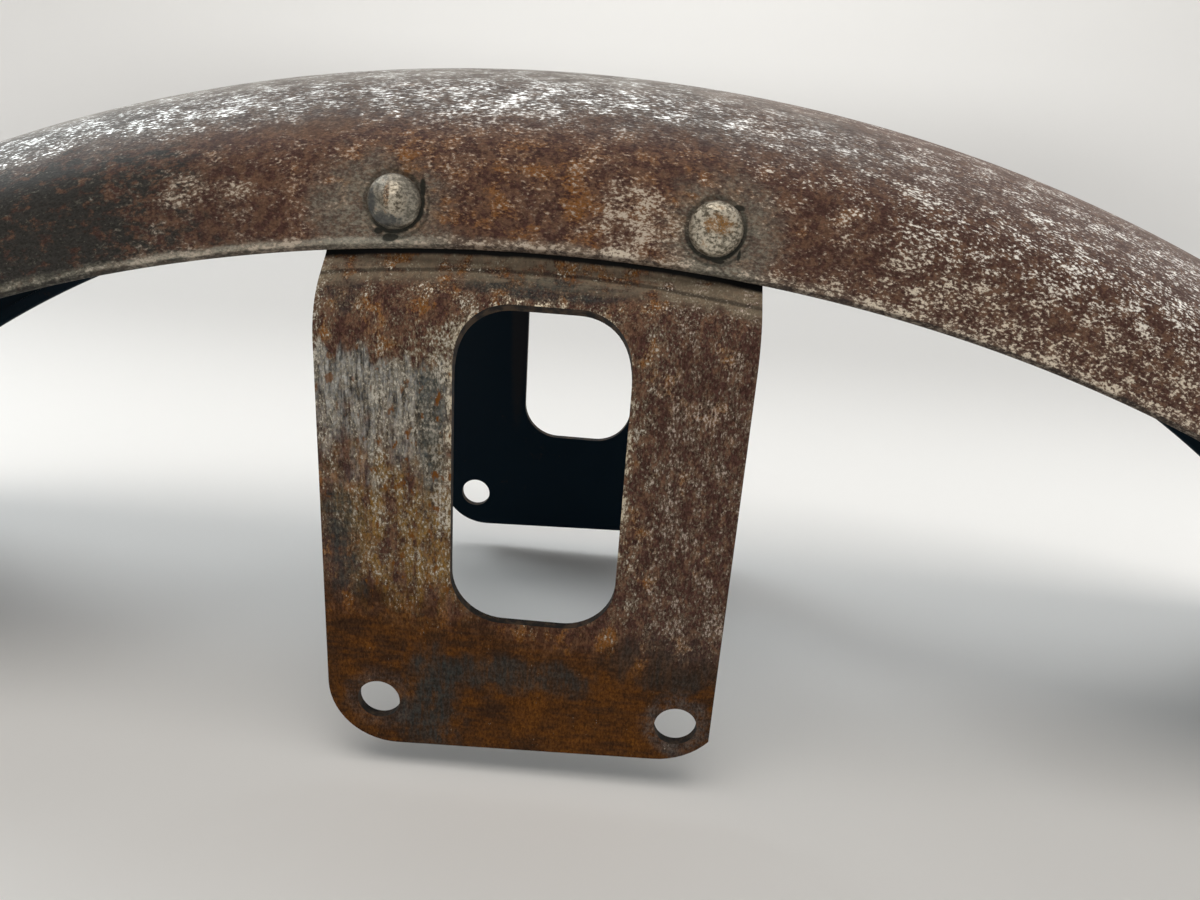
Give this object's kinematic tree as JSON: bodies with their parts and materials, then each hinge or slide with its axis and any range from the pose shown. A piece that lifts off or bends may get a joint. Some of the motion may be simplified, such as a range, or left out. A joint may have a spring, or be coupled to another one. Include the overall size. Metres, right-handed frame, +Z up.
{
  "type": "motorcycle front fender",
  "caption": "Old arched steel front fender with a crowned blade, hemmed lips and a windowed mounting plate riveted inside each skirt, for bolting over a wheel between fork legs.",
  "frame": {"origin": "on the surface that the fender stands on, below the middle of its arc and midway between its lips", "axes": "+X along the fender towards the trimmed edge of the plates, +Y across it, from the near side to the far side, +Z up"},
  "size_m": [0.5178, 0.107, 0.137],
  "materials": {
    "blade_steel": "rust-speckled bare steel outside, old black paint inside",
    "plate_steel": "rust-stained worn steel outside, old black paint inside",
    "rivet_steel": "worn steel with rust spots"
  },
  "bodies": {
    "root": {"fender_blade": "blade_steel", "bracket_near": "plate_steel", "bracket_far": "plate_steel", "rivets": "rivet_steel"}
  },
  "joints": []
}
